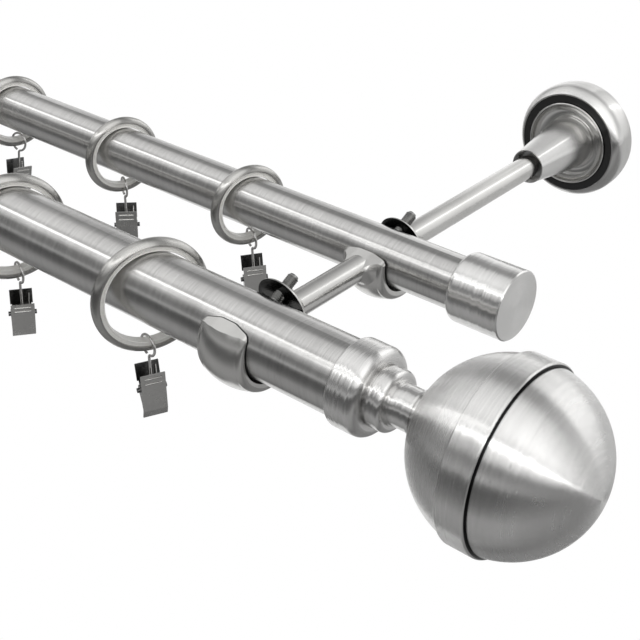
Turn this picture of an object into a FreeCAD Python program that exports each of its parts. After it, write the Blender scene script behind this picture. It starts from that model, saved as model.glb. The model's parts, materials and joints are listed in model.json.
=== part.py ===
"""Double curtain pole: a thick front pole and a thin rear pole on two wall brackets.

Ball finials close the front pole, caps close the rear pole, and rings with hooked clips slide on both.
Millimetres. X runs along the poles, +Y goes into the wall, +Z is up. The origin lies on the wall plane,
midway between the brackets, at the height of the bracket arms.
"""
import FreeCAD, Part
import math
import os

V = FreeCAD.Vector

# Overall layout
bracket_spacing = 410.0
front_reach = 205.0
rear_reach = 137.5
front_pole_diameter = 25.0
rear_pole_diameter = 19.0
pole_wall = 1.0
front_pole_overhang = 49.5
rear_pole_overhang = 52.8
sleeve_clearance = 0.05
running_gap = 0.3
weld_overlap = 1.0

# Bracket arm and its two cradles
arm_diameter = 9.0
arm_tail_diameter = 8.0
front_cradle_width = 19.2
rear_cradle_width = 17.6
cradle_edge_round = 2.2
cradle_crown = 1.3
chin_drop = 2.0
shell_thickness = 3.9
front_pocket_radius = 12.8
rear_pocket_radius = 11.8
pocket_draft = 0.15
pocket_draft_drop = 0.8
pocket_draft_depth = 3.0
back_wall_thickness = 2.4
back_wall_bevel = 1.8
back_wall_lean = 12.0
front_back_wall_gap = 2.4
rear_back_wall_gap = 0.5
back_wall_rise = 0.6
front_lip_drop = 0.2
rear_lip_drop = 1.1
lip_top_lean = 20.0
lip_top_half = 3.0
lip_top_round = 10.0
lip_corner_drop = 1.1
lip_corner_round = 2.2
front_flare_radius = 8.4
front_flare_length = 9.0
front_flare_sink = 2.4
rear_flare_radius = 6.8
rear_flare_length = 4.0

# Clamp screws through the cradles' back walls
clamp_screw_diameter = 4.0
clamp_screw_tilt = 28.0
front_screw_length = 11.2
rear_screw_length = 9.4
screw_chamfer = 0.5
thread_pitch = 0.7
thread_depth = 0.3
screw_fit = 0.02
hex_across_flats = 2.0
hex_depth = 2.2

# Wall side of a bracket, as distances from the wall
plate_radius = 19.0
plate_thickness = 2.5
wall_hole_diameter = 4.5
wall_hole_spacing = 26.0
shoulder_radius = 9.0
shoulder_height = 6.9
boss_radius = 5.6
boss_height = 38.0
boss_bore_floor = 12.0
rosette_radius = 23.75
rosette_foot_radius = 23.0
rosette_belly = 6.0
rosette_height = 12.6
rosette_lip_radius = 21.1
rosette_foot_bow = 0.27
rosette_front_bow = 0.95
rosette_inner_bow = 0.5
rosette_wall = 1.2
insert_radius = 20.5
insert_inner_radius = 17.5
insert_floor = 1.6
insert_height = 12.2
cup_rim_radius = 17.3
cup_rim_height = 13.2
cup_floor_radius = 12.0
cup_thickness = 1.1
cup_rim_width = 0.7
cup_rim_roll = 0.2
cup_inner_bow = 1.33
cup_outer_bow = 1.25
cup_heel = 0.5
cone_mouth_radius = 6.9
cone_base_radius = 11.3
cone_mouth_height = 43.0
cone_wall = 1.0
cone_mouth_edge = 0.4
cone_mouth_depth = 3.0
cone_throat_taper = 2.0
cone_throat_length = 2.0
cone_screw_diameter = 2.0
cone_screw_height = 24.8
cone_screw_turns = (-35.5, 180.0)
cone_screw_sink = 1.0

# Ball finial, as distances outwards from the bracket's middle
collar_start = 41.2
collar_end = 52.2
collar_radius = 14.3
collar_back_round = 1.2
collar_front_round = 3.0
step_radius = 9.8
step_end = 58.2
step_round = 1.6
step_back_round = 0.3
step_groove = 0.8
neck_radius = 6.7
neck_ring_radius = 7.2
neck_ring_width = 0.8
neck_ring_setback = 1.6
ball_radius = 28.2
ball_centre = 95.5
ball_wall = 1.2
band_rise = 0.6
band_back = 4.8
band_front = 4.7
band_round = 0.7
seam_gap = 0.9
dome_rabbet_length = 5.0
spigot_radius = 5.0
spigot_length = 6.0
spigot_round = 1.0
finial_screw_diameter = 3.0

# Cap on each end of the rear pole
cap_radius = 12.3
cap_start = 34.0
cap_end = 55.1
cap_back_round = 2.6
cap_edge_chamfer = 0.4

# Rings: how far each stands from the right-hand bracket, and how far they are turned about the vertical
front_ring_outer = 42.4
front_ring_inner = 34.0
front_ring_width = 5.0
front_ring_places = (46.0, 121.5, 290.0)
front_ring_yaw = 20.0
rear_ring_outer = 32.3
rear_ring_inner = 24.2
rear_ring_width = 4.0
rear_ring_places = (64.5, 135.8, 207.0)
rear_ring_yaw = 15.5
ring_edge_rise = 0.55
liner_share = 0.45
liner_lip = 0.6
liner_lip_share = 0.8
liner_web_share = 0.6
liner_round = 0.2

# How each hook and clip hangs: place round the ring from its lowest point, turn past the ring's yaw,
# lean in the clip's own plane, and tilt of the clip about its pin
front_hangs = ((-7.5, 6.0, 0.0, -8.5), (1.5, 13.0, -3.0, 8.0), (0.0, 10.0, 0.0, 0.0))
rear_hangs = ((4.0, 22.0, 2.0, -3.0), (-1.0, 28.0, -1.0, -10.0), (1.0, -6.0, -8.0, -1.0))

# Wire hook
hook_wire = 1.0
hook_loop_radius = 4.0
hook_loop_drop = 0.4
hook_length = 17.7
hook_turn = 17.0
hook_bend_radius = 1.2
hook_tip_angle = 18.0
hook_eye_tip_angle = 62.0
pin_fit = 0.07

# Clip of two stamped jaws on a tube, closed by a torsion spring
clip_sheet = 0.45
clip_pin_radius = 0.9
clip_pin_bore = 0.5
clip_pin_bore_depth = 1.4
clip_pin_overhang = 0.9
front_jaw_width = 8.9
front_jaw_rise = 6.7
back_jaw_width = 8.6
back_jaw_rise = 8.6
jaw_drop = 10.6
jaw_knee_drop = 7.8
jaw_knee_gap = 3.2
lever_spread = 3.9
jaw_bite_gap = 0.3
back_waist_rise = 2.3
ear_gap = 0.3
ear_radius = 1.9
ear_drop = 5.9
ridge_length = 6.2
ridge_radius = 0.4
ridge_drops = (1.6, 3.6)
spring_wire = 0.5
spring_full_turns = 2
spring_coil_gap = 0.04
spring_start = 0.9
spring_leg_back = 7.2
spring_leg_front = 5.2

# Values that follow from the driving ones
half_spacing = bracket_spacing / 2
band_radius = ball_radius + band_rise
band_start = ball_centre - band_back
band_end = ball_centre + band_front
front_pole_radius = front_pole_diameter / 2
rear_pole_radius = rear_pole_diameter / 2
arm_radius = arm_diameter / 2
screw_out = V(0, math.cos(math.radians(clamp_screw_tilt)), math.sin(math.radians(clamp_screw_tilt)))
wall_normal = V(0, math.cos(math.radians(back_wall_lean)), math.sin(math.radians(back_wall_lean)))
quarter_nick = 1 - math.sqrt(0.5)


# Small helpers for outlines and solids

def rounded_face(corners):
    """Flat face in the XZ plane whose corners are (x, z) or (x, z, radius of rounding)."""
    count = len(corners)
    points = [V(c[0], 0, c[1]) for c in corners]
    ends = []
    arcs = []
    for i, corner in enumerate(corners):
        radius = corner[2] if len(corner) == 3 else 0.0
        here = points[i]
        back = (points[i - 1] - here).normalize()
        ahead = (points[(i + 1) % count] - here).normalize()
        half = back.getAngle(ahead) / 2
        if radius == 0.0:
            ends.append((here, here))
            arcs.append(None)
            continue
        setback = radius / math.tan(half)
        first = here + back * setback
        last = here + ahead * setback
        middle_way = (back + ahead).normalize()
        middle = here + middle_way * (radius / math.sin(half) - radius)
        ends.append((first, last))
        arcs.append(Part.Arc(first, middle, last).toShape())
    edges = []
    for i in range(count):
        if arcs[i]:
            edges.append(arcs[i])
        start = ends[i][1]
        stop = ends[(i + 1) % count][0]
        if start.distanceToPoint(stop) > 1e-6:
            edges.append(Part.LineSegment(start, stop).toShape())
    return Part.Face(Part.Wire(edges))


def path_face(start, *steps):
    """Flat face in the XZ plane: each step is a point, or a middle point and an end point for an arc."""
    at = V(start[0], 0, start[1])
    first = at
    edges = []
    for step in steps:
        if isinstance(step[0], tuple):
            middle = V(step[0][0], 0, step[0][1])
            stop = V(step[1][0], 0, step[1][1])
            edges.append(Part.Arc(at, middle, stop).toShape())
        else:
            stop = V(step[0], 0, step[1])
            edges.append(Part.LineSegment(at, stop).toShape())
        at = stop
    if at.distanceToPoint(first) > 1e-6:
        edges.append(Part.LineSegment(at, first).toShape())
    return Part.Face(Part.Wire(edges))


def bowed(start, stop, bow):
    """Arc step from one (x, z) point to another; a positive bow swells to the left of the way there."""
    way = (stop[0] - start[0], stop[1] - start[1])
    length = math.hypot(*way)
    share = bow / length
    middle = ((start[0] + stop[0]) / 2 - way[1] * share, (start[1] + stop[1]) / 2 + way[0] * share)
    return (middle, stop)


def turned_about_x(face):
    """Solid of revolution about the X axis from a face whose Z is the radius."""
    return face.revolve(V(0, 0, 0), V(1, 0, 0), 360)


def turned_from_wall(face):
    """Solid of revolution about the Y axis; the face's X is the distance from the wall, its Z the radius."""
    solid = turned_about_x(face)
    solid.rotate(V(0, 0, 0), V(0, 0, 1), -90)
    return solid


def rod(start, direction, radius, length):
    """Plain cylinder from a start point."""
    return Part.makeCylinder(radius, length, start, direction)


def joined(solids):
    """One solid out of several that overlap."""
    return solids[0].multiFuse(solids[1:]).removeSplitter()


def wire_rod(edges, radius):
    """Round wire along tangent edges."""
    path = Part.Wire(edges)
    start = path.Edges[0].valueAt(path.Edges[0].FirstParameter)
    way = path.Edges[0].tangentAt(path.Edges[0].FirstParameter)
    circle = Part.Wire(Part.makeCircle(radius, start, way))
    return path.makePipeShell([circle], True, False)


def mirrored_in_x(shape):
    """The same piece on the other end of the poles."""
    return shape.mirror(V(0, 0, 0), V(1, 0, 0))


def tube(radius, wall, half_length):
    """Straight pole centred on the origin."""
    outer = rod(V(-half_length, 0, 0), V(1, 0, 0), radius, 2 * half_length)
    return outer.cut(rod(V(-half_length, 0, 0), V(1, 0, 0), radius - wall, 2 * half_length))


# Bracket arm

class Cradle:
    """Measures of one cradle, taken from the axis of the pole that lies in it."""

    def __init__(self, reach, pole_radius, pocket_radius, width, lip_drop, wall_gap):
        self.place = V(0, -reach, 0)
        self.pole_radius = pole_radius
        self.pocket_radius = pocket_radius
        self.half = width / 2
        self.lip_top = pole_radius - lip_drop
        self.wall_at = pole_radius + wall_gap
        self.barrel_radius = pocket_radius + shell_thickness
        self.depth = 3 * self.barrel_radius

    def pocket_centre(self):
        """Centre of the cup: the screw pushes the pole against the side opposite itself."""
        return screw_out * (self.pocket_radius - self.pole_radius - running_gap)

    def wall_back(self):
        """How far behind the pole's axis the back wall ends, at the height of the axis."""
        return (self.wall_at + back_wall_thickness) / wall_normal.y


def back_wall_slab(cradle):
    """Slab whose inner face stands at a distance from the pole's axis and leans over the pole."""
    high = 2 * cradle.pole_radius
    slab = Part.makeBox(2 * cradle.half, back_wall_thickness, high + arm_radius,
                        V(-cradle.half, 0, -arm_radius))
    slab.rotate(V(0, 0, 0), V(1, 0, 0), back_wall_lean)
    slab.translate(wall_normal * cradle.wall_at)
    return slab


def back_wall(cradle):
    """Half-moon wall behind the pole, with its back edges bevelled down to a thin rim."""
    wall = back_wall_slab(cradle).common(dome_outline(cradle))
    back = cradle.wall_at + back_wall_thickness
    edges = []
    for edge in wall.Edges:
        ends = [vertex.Point.dot(wall_normal) for vertex in edge.Vertexes]
        if min(ends) > back - back_wall_bevel / 2 and edge.BoundBox.ZMax > -arm_radius / 2:
            edges.append(edge)
    return wall.makeChamfer(back_wall_bevel, edges)


def beyond_wall(distance):
    """All the space on the far side of a plane parallel to the back wall."""
    size = 4 * front_cradle_width
    block = Part.makeBox(2 * size, size, 2 * size, V(-size, 0, -size))
    block.rotate(V(0, 0, 0), V(1, 0, 0), back_wall_lean)
    block.translate(wall_normal * distance)
    return block


def front_outline(cradle):
    """Everything in front of the pole and inside the lip's outline; its top falls away towards the front."""
    half = cradle.half
    top = cradle.lip_top
    side = top - lip_corner_drop
    low = -cradle.depth
    face = rounded_face([(-half, low), (-half, side, lip_corner_round), (-lip_top_half, top, lip_top_round),
                         (lip_top_half, top, lip_top_round), (half, side, lip_corner_round), (half, low)])
    fall = cradle.depth * math.tan(math.radians(lip_top_lean))
    return face.extrude(V(0, -cradle.depth, -fall))


def dome_outline(cradle):
    """Everything behind the pole and inside the back wall's half-moon outline, as seen along the arm."""
    half = cradle.half
    top = cradle.pole_radius + back_wall_rise
    low = -cradle.depth
    round_top = half - running_gap
    face = rounded_face([(-half, low), (-half, top, round_top), (half, top, round_top), (half, low)])
    return face.extrude(V(0, cradle.depth, 0))


def flare(at_y, radius, length, way):
    """Trumpet-shaped root where the arm meets a cradle; way is +1 when it widens towards +Y."""
    rise = radius - arm_radius
    middle = (-quarter_nick * length, arm_radius + quarter_nick * rise)
    face = path_face((0, 0), (0, radius), (middle, (-length, arm_radius)), (-length, 0))
    root = turned_about_x(face)
    root.rotate(V(0, 0, 0), V(0, 0, 1), 90 * way)
    root.translate(V(0, at_y, 0))
    return root


def cradle_body(cradle):
    """Cup, front lip and back wall before the pocket is cut, with the pole's axis on the X axis."""
    half = cradle.half
    side = cradle.barrel_radius - cradle_crown
    inner = half - cradle_edge_round
    nick = cradle_edge_round * quarter_nick
    barrel = turned_about_x(path_face(
        (-half, 0), (-half, side - cradle_edge_round), ((-half + nick, side - nick), (-inner, side)),
        ((0, cradle.barrel_radius), (inner, side)),
        ((half - nick, side - nick), (half, side - cradle_edge_round)), (half, 0)))
    barrel.translate(cradle.pocket_centre() - V(0, 0, chin_drop))
    lip = barrel.common(front_outline(cradle))
    below = Part.makeBox(2 * half, cradle.depth, cradle.depth, V(-half, 0, -cradle.depth + arm_radius))
    heel = barrel.common(below).cut(beyond_wall(cradle.wall_at + back_wall_thickness))
    root = flare(cradle.wall_back() - back_wall_thickness / 2, rear_flare_radius, rear_flare_length, -1)
    return [lip, heel, back_wall(cradle), root.common(dome_outline(cradle))]


def pocket_mouth(cradle, side):
    """Draft at one side of the cup, which opens it mostly downwards."""
    rings = []
    for way in (-1, 1):
        share = 1 + way
        centre = cradle.pocket_centre() + V(side * (cradle.half + way * pocket_draft_depth), 0,
                                            -share * pocket_draft_drop)
        radius = cradle.pocket_radius + share * pocket_draft
        rings.append(Part.Wire(Part.makeCircle(radius, centre, V(1, 0, 0))))
    return Part.makeLoft(rings, True)


def pocket_cutters(cradle):
    """Space for the pole: a round cup and its drafts, which all end at the back wall."""
    length = 4 * cradle.half
    cup = rod(cradle.pocket_centre() - V(length / 2, 0, 0), V(1, 0, 0), cradle.pocket_radius, length)
    spaces = [cup, pocket_mouth(cradle, -1), pocket_mouth(cradle, 1)]
    return [space.cut(beyond_wall(cradle.wall_at)) for space in spaces]


def clamp_screw_hole(cradle):
    """Tapped hole through a back wall, along the screw."""
    radius = clamp_screw_diameter / 2 + screw_fit
    return rod(screw_out * cradle.pole_radius, screw_out, radius, cradle.barrel_radius)


def bracket_arm():
    """One casting: front cradle, arm, rear cradle and the tail that stands in the wall socket."""
    front = Cradle(front_reach, front_pole_radius, front_pocket_radius, front_cradle_width,
                   front_lip_drop, front_back_wall_gap)
    rear = Cradle(rear_reach, rear_pole_radius, rear_pocket_radius, rear_cradle_width,
                  rear_lip_drop, rear_back_wall_gap)
    pieces = []
    for cradle in (front, rear):
        for solid in cradle_body(cradle):
            pieces.append(solid.translated(cradle.place))
    lip_front = rear.pocket_centre().y - rear.barrel_radius
    root = flare(lip_front + front_flare_sink, front_flare_radius, front_flare_length, 1)
    pieces.append(root.common(front_outline(rear)).translated(rear.place))
    front_start = front.place + V(0, front.wall_back() - weld_overlap, 0)
    front_stop = rear.place + V(0, lip_front + weld_overlap, 0)
    pieces.append(rod(front_start, V(0, 1, 0), arm_radius, (front_stop - front_start).y))
    rear_start = rear.place + V(0, rear.wall_back() - weld_overlap, 0)
    rear_stop = V(0, -cone_mouth_height, 0)
    pieces.append(rod(rear_start, V(0, 1, 0), arm_radius, (rear_stop - rear_start).y))
    tail_length = cone_mouth_height - boss_bore_floor - running_gap
    tail_start = rear_stop - V(0, weld_overlap, 0)
    pieces.append(rod(tail_start, V(0, 1, 0), arm_tail_diameter / 2, tail_length + weld_overlap))
    casting = joined(pieces)
    for cradle in (front, rear):
        for space in pocket_cutters(cradle):
            casting = casting.cut(space.translated(cradle.place))
        casting = casting.cut(clamp_screw_hole(cradle).translated(cradle.place))
    return casting.removeSplitter()


def hex_screw(length, diameter):
    """Headless screw along +Z with thread ridges all the way and a hexagon socket in its top end."""
    radius = diameter / 2
    root = radius - thread_depth
    ridges = round((length - 2 * screw_chamfer) / thread_pitch)
    pitch = (length - 2 * screw_chamfer) / ridges
    outline = [(0, radius - screw_chamfer)]
    for i in range(ridges):
        foot = screw_chamfer + i * pitch
        outline += [(foot, root), (foot + pitch / 2, radius)]
    outline += [(length - screw_chamfer, root), (length, radius - screw_chamfer), (length, 0)]
    screw = turned_about_x(path_face((0, 0), *outline))
    screw.rotate(V(0, 0, 0), V(0, 1, 0), -90)
    corner = hex_across_flats / math.sqrt(3)
    points = []
    for i in range(7):
        angle = math.radians(60 * i)
        points.append(V(corner * math.cos(angle), corner * math.sin(angle), length - hex_depth))
    socket = Part.Face(Part.makePolygon(points)).extrude(V(0, 0, 2 * hex_depth))
    return screw.cut(socket)


def aimed(solid, direction, start):
    """A piece made along +Z, turned to a direction and moved to its start."""
    solid = solid.copy()
    turn = FreeCAD.Rotation(V(0, 0, 1), direction)
    solid.Placement = FreeCAD.Placement(start, turn).multiply(solid.Placement)
    return solid


def clamp_screws():
    """Two screws per bracket, from the pole's surface out through the back wall."""
    screws = []
    for side in (-1, 1):
        for reach, radius, length in ((front_reach, front_pole_radius, front_screw_length),
                                      (rear_reach, rear_pole_radius, rear_screw_length)):
            start = V(side * half_spacing, -reach, 0) + screw_out * (radius + sleeve_clearance)
            screws.append(aimed(hex_screw(length, clamp_screw_diameter), screw_out, start))
    return Part.makeCompound(screws)


# Wall side of a bracket

def wall_plate():
    """Steel plate with two screw holes, a shoulder for the cup and a socket for the arm's tail."""
    plate = turned_from_wall(path_face(
        (0, 0), (0, plate_radius), (plate_thickness, plate_radius), (plate_thickness, shoulder_radius),
        (shoulder_height, shoulder_radius), (shoulder_height, boss_radius), (boss_height, boss_radius),
        (boss_height, arm_tail_diameter / 2 + sleeve_clearance),
        (boss_bore_floor, arm_tail_diameter / 2 + sleeve_clearance), (boss_bore_floor, 0)))
    for side in (-1, 1):
        start = V(0, -2 * plate_thickness, side * wall_hole_spacing / 2)
        plate = plate.cut(rod(start, V(0, 1, 0), wall_hole_diameter / 2, 3 * plate_thickness))
    for turn in cone_screw_turns:
        plate = plate.cut(cone_screw_hole(turn))
    return plate


def rosette():
    """Pressed dish that hides the wall plate: a rounded outer rim with a lip turned in at the front."""
    wall = rosette_wall
    bore = insert_radius + sleeve_clearance
    foot = (0, rosette_foot_radius)
    belly = (rosette_belly, rosette_radius)
    lip = (rosette_height, rosette_lip_radius)
    inner_lip = (rosette_height - wall, rosette_lip_radius)
    inner_belly = (rosette_belly, rosette_radius - wall)
    return turned_from_wall(path_face(
        foot, bowed(foot, belly, rosette_foot_bow), bowed(belly, lip, rosette_front_bow),
        (rosette_height, bore), (rosette_height - wall, bore), inner_lip,
        bowed(inner_lip, inner_belly, -rosette_inner_bow), (0, rosette_foot_radius - wall)))


def rosette_insert():
    """Glossy dark ring between the rosette and the cup, on a floor that lies on the plate's shoulder."""
    floor = shoulder_height
    top = cup_floor()
    bore = boss_radius + running_gap
    return turned_from_wall(path_face(
        (floor, bore), (top, bore), (top, insert_inner_radius), (insert_height, insert_inner_radius),
        (insert_height, insert_radius), (floor, insert_radius)))


def cup_floor():
    """Distance from the wall to the underside of the cup."""
    return shoulder_height + insert_floor


def cone_base():
    """Distance from the wall to the cup's floor, where the cone stands."""
    return cup_floor() + cup_thickness


def inner_cup():
    """Polished cup that the cone stands in: a flat floor and a flared wall with a bright rim."""
    bore = boss_radius + sleeve_clearance
    inner_foot = (cone_base(), cup_floor_radius)
    inner_rim = (cup_rim_height, cup_rim_radius - cup_rim_width)
    outer_rim = (cup_rim_height - cup_rim_roll, cup_rim_radius)
    outer_foot = (cup_floor(), cup_floor_radius + cup_heel)
    return turned_from_wall(path_face(
        (cup_floor(), bore), (cone_base(), bore), inner_foot, bowed(inner_foot, inner_rim, cup_inner_bow),
        bowed(inner_rim, outer_rim, -cup_rim_roll), bowed(outer_rim, outer_foot, -cup_outer_bow)))


def cone_radius(height):
    """Outer radius of the cone cover at a distance from the wall."""
    share = (height - cone_base()) / (cone_mouth_height - cone_base())
    return cone_base_radius + (cone_mouth_radius - cone_base_radius) * share


def cone_screw_hole(turn):
    """Hole for one of the cone's set screws, turned about the arm from straight up."""
    out = V(math.sin(math.radians(turn)), 0, math.cos(math.radians(turn)))
    start = V(0, -cone_screw_height, 0) + out * (arm_tail_diameter / 2 + sleeve_clearance)
    return rod(start, out, cone_screw_diameter / 2, cone_base_radius)


def cone_cover():
    """Conical cover over the socket, thin at its mouth, with two set-screw holes."""
    base = cone_base()
    mouth = cone_mouth_height
    mouth_bore = cone_mouth_radius - cone_mouth_edge
    throat_bore = boss_radius + sleeve_clearance
    throat_top = mouth - cone_mouth_depth - cone_throat_taper
    throat_foot = throat_top - cone_throat_length
    cone = turned_from_wall(path_face(
        (base, cone_base_radius - cone_wall), (base, cone_base_radius), (mouth, cone_mouth_radius),
        (mouth, mouth_bore), (mouth - cone_mouth_depth, mouth_bore), (throat_top, throat_bore),
        (throat_foot, throat_bore), (throat_foot, cone_radius(throat_foot) - cone_wall)))
    for turn in cone_screw_turns:
        cone = cone.cut(cone_screw_hole(turn))
    return cone


# Ball finial

def ball_profile_point(radius, offset):
    """Point on a sphere about the ball's centre, at an offset from that centre along the pole."""
    return (ball_centre + offset, math.sqrt(radius ** 2 - offset ** 2))


def ball_arc(radius, first_offset, last_offset):
    """Arc step on a sphere about the ball's centre between two offsets from that centre."""
    middle = (math.acos(first_offset / radius) + math.acos(last_offset / radius)) / 2
    way_point = (ball_centre + radius * math.cos(middle), radius * math.sin(middle))
    return (way_point, ball_profile_point(radius, last_offset))


def ball_offset(radius, height):
    """Offset, on the bracket's side, at which a sphere about the ball's centre has a given radius."""
    return -math.sqrt(radius ** 2 - height ** 2)


def finial_neck():
    """Turned collar, step and neck, with a spigot riveted into the ball."""
    bore = front_pole_radius + sleeve_clearance
    pole_end = front_pole_overhang
    seat_radius = ball_radius + sleeve_clearance
    ball_at = ball_centre + ball_offset(seat_radius, neck_radius)
    inside = ball_centre + ball_offset(ball_radius - ball_wall, spigot_radius)
    groove_radius = step_radius - step_groove
    first_ring = step_end + neck_ring_width
    last_ring = ball_at - neck_ring_setback
    neck = rounded_face([
        (collar_start, bore), (collar_start, collar_radius, collar_back_round),
        (collar_end, collar_radius, collar_front_round), (collar_end, groove_radius),
        (collar_end + step_groove, groove_radius), (collar_end + step_groove, step_radius, step_back_round),
        (step_end, step_radius, step_round), (step_end, neck_ring_radius),
        (first_ring, neck_ring_radius), (first_ring, neck_radius),
        (last_ring - neck_ring_width, neck_radius), (last_ring - neck_ring_width, neck_ring_radius),
        (last_ring, neck_ring_radius), (last_ring, neck_radius), (ball_at, neck_radius),
        (ball_at, spigot_radius), (inside + spigot_length, spigot_radius, spigot_round),
        (inside + spigot_length, 0), (pole_end + sleeve_clearance, 0), (pole_end + sleeve_clearance, bore)])
    collar = turned_about_x(neck).cut(finial_screw_hole())
    return collar.cut(ball_seat(seat_radius))


def ball_seat(radius):
    """The ball's outside round the spigot, cut out of the neck's end so that the two fit."""
    start = ball_centre - ball_radius
    sleeve = rod(V(start, 0, 0), V(1, 0, 0), neck_ring_radius, ball_radius)
    sleeve = sleeve.cut(rod(V(start, 0, 0), V(1, 0, 0), spigot_radius, ball_radius))
    return sleeve.common(Part.makeSphere(radius, V(ball_centre, 0, 0)))


def collar_screw_x():
    """Where the grub screw stands, along the pole."""
    return (collar_start + collar_end - collar_front_round) / 2


def finial_screw_hole():
    """Hole for the grub screw underneath the collar."""
    start = V(collar_screw_x(), 0, -front_pole_radius - sleeve_clearance)
    return rod(start, V(0, 0, -1), finial_screw_diameter / 2, collar_radius)


def ball_back_shell():
    """Back half of the ball: a pressed shell that ends in a raised band."""
    inner = ball_radius - ball_wall
    band_inner = band_radius - ball_wall
    hole = spigot_radius + sleeve_clearance
    outer_start = ball_offset(ball_radius, hole)
    inner_start = ball_offset(inner, hole)
    nick = band_round * quarter_nick
    inner_shoulder = ball_profile_point(inner, -band_back)
    return turned_about_x(path_face(
        (ball_centre + outer_start, hole), ball_arc(ball_radius, outer_start, -band_back),
        (band_start, band_radius - band_round),
        ((band_start + nick, band_radius - nick), (band_start + band_round, band_radius)),
        (band_end - band_round, band_radius),
        ((band_end - nick, band_radius - nick), (band_end, band_radius - band_round)),
        (band_end, band_inner), (band_start + ball_wall, band_inner),
        (band_start + ball_wall, inner_shoulder[1]), inner_shoulder,
        ball_arc(inner, -band_back, inner_start)))


def ball_front_shell():
    """Front half of the ball: a dome with a rabbet that plugs into the band."""
    seam = band_front + seam_gap
    plug = band_radius - ball_wall - sleeve_clearance
    inner = ball_radius - ball_wall
    start = band_end - dome_rabbet_length
    root = seam + ball_wall
    return turned_about_x(path_face(
        (start, plug - ball_wall), (start, plug), (ball_centre + seam, plug),
        ball_profile_point(ball_radius, seam), ball_arc(ball_radius, seam, ball_radius),
        (ball_centre + inner, 0), ball_arc(inner, inner, root), (ball_centre + root, plug - ball_wall)))


def finial_side(shape):
    """A finial piece made about the X axis, on the right-hand end of the front pole."""
    return shape.translated(V(half_spacing, -front_reach, 0))


def rear_end_cap():
    """Cup pressed over the end of the rear pole."""
    bore = rear_pole_radius + sleeve_clearance
    pole_end = rear_pole_overhang + sleeve_clearance
    edge = cap_edge_chamfer
    nick = cap_back_round * quarter_nick
    cap = turned_about_x(path_face(
        (cap_start, bore), (cap_start, cap_radius - cap_back_round),
        ((cap_start + nick, cap_radius - nick), (cap_start + cap_back_round, cap_radius)),
        (cap_end - edge, cap_radius), (cap_end, cap_radius - edge),
        (cap_end, 0), (pole_end, 0), (pole_end, bore)))
    return cap.translated(V(half_spacing, -rear_reach, 0))


def grub_screws():
    """Set screws of the cones and of the finials' collars."""
    screws = []
    bore = arm_tail_diameter / 2 + sleeve_clearance
    cone_length = cone_radius(cone_screw_height) - cone_screw_sink - bore
    collar_length = collar_radius - front_pole_radius - 2 * sleeve_clearance
    for side in (-1, 1):
        for turn in cone_screw_turns:
            out = V(side * math.sin(math.radians(turn)), 0, math.cos(math.radians(turn)))
            start = V(side * half_spacing, -cone_screw_height, 0) + out * bore
            screws.append(aimed(plain_grub(cone_length, cone_screw_diameter), out, start))
        at_x = side * (half_spacing + collar_screw_x())
        start = V(at_x, -front_reach, -front_pole_radius - sleeve_clearance)
        screws.append(aimed(plain_grub(collar_length, finial_screw_diameter), V(0, 0, -1), start))
    return Part.makeCompound(screws)


def plain_grub(length, diameter):
    """Small headless screw along +Z with a slot across its top."""
    screw = rod(V(0, 0, 0), V(0, 0, 1), diameter / 2 - screw_fit, length)
    width = diameter / 5
    depth = diameter / 4
    slot = Part.makeBox(diameter, width, diameter, V(-diameter / 2, -width / 2, length - depth))
    return screw.cut(slot)


# Rings

def ring_metal(outer, inner, width):
    """Half-round metal band around the liner."""
    base = liner_base(outer, inner)
    half = width / 2
    edge = base + ring_edge_rise
    face = path_face((-half, base), (-half, edge), ((0, outer / 2), (half, edge)), (half, base))
    return turned_about_x(face)


def liner_base(outer, inner):
    """Radius at which the metal band sits on its liner."""
    return inner / 2 + (outer - inner) / 2 * liner_share


def ring_liner(outer, inner, width):
    """Smooth plastic liner: a wide inner lip and a narrower web under the band."""
    lip = width / 2 * liner_lip_share
    web = width / 2 * liner_web_share
    base = liner_base(outer, inner)
    low = inner / 2
    high = low + liner_lip
    face = rounded_face([(-lip, low, liner_round), (-lip, high, liner_round), (-web, high), (-web, base),
                         (web, base), (web, high), (lip, high, liner_round), (lip, low, liner_round)])
    return turned_about_x(face)


def ring_placement(place):
    """Ring frame: its axis along local X, turned by its yaw, with its inner side resting on the pole."""
    turn = FreeCAD.Rotation(V(0, 0, 1), -place["yaw"])
    return FreeCAD.Placement(place["centre"], turn)


def hang_placement(place):
    """Frame of a hook: origin in the ring's section where the hook hangs, local Y along the clip's pin."""
    turn = FreeCAD.Rotation(V(0, 0, 1), -place["yaw"] - place["twist"])
    lean = FreeCAD.Rotation(V(1, 0, 0), place["lean"])
    radius = (place["outer"] + place["inner"]) / 4
    angle = math.radians(place["round"])
    spot = V(0, radius * math.sin(angle), -radius * math.cos(angle))
    return FreeCAD.Placement(ring_placement(place).multVec(spot), turn.multiply(lean))


def pin_placement(place):
    """Frame of a clip: origin on its pin, local Y along the pin, local X out of the clip's front."""
    tilt = FreeCAD.Rotation(V(0, 1, 0), place["tilt"])
    return hang_placement(place).multiply(FreeCAD.Placement(V(0, 0, -pin_drop()), tilt))


def ring_places():
    """Every ring's row, number, size, centre, yaw, and how its clip hangs."""
    places = []
    rows = (("front", front_pole_radius, front_reach, front_ring_places, front_ring_outer,
             front_ring_inner, front_ring_width, front_ring_yaw, front_hangs),
            ("rear", rear_pole_radius, rear_reach, rear_ring_places, rear_ring_outer,
             rear_ring_inner, rear_ring_width, rear_ring_yaw, rear_hangs))
    for row, pole_radius, reach, distances, outer, inner, width, yaw, hangs in rows:
        height = pole_radius + running_gap - inner / 2
        for i, distance in enumerate(distances):
            spot, twist, lean, tilt = hangs[i]
            places.append({"name": "%s_ring_%d" % (row, i + 1), "row": row, "outer": outer, "inner": inner,
                           "width": width, "centre": V(half_spacing - distance, -reach, height), "yaw": yaw,
                           "round": spot, "twist": twist, "lean": lean, "tilt": tilt})
    return places


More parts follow.
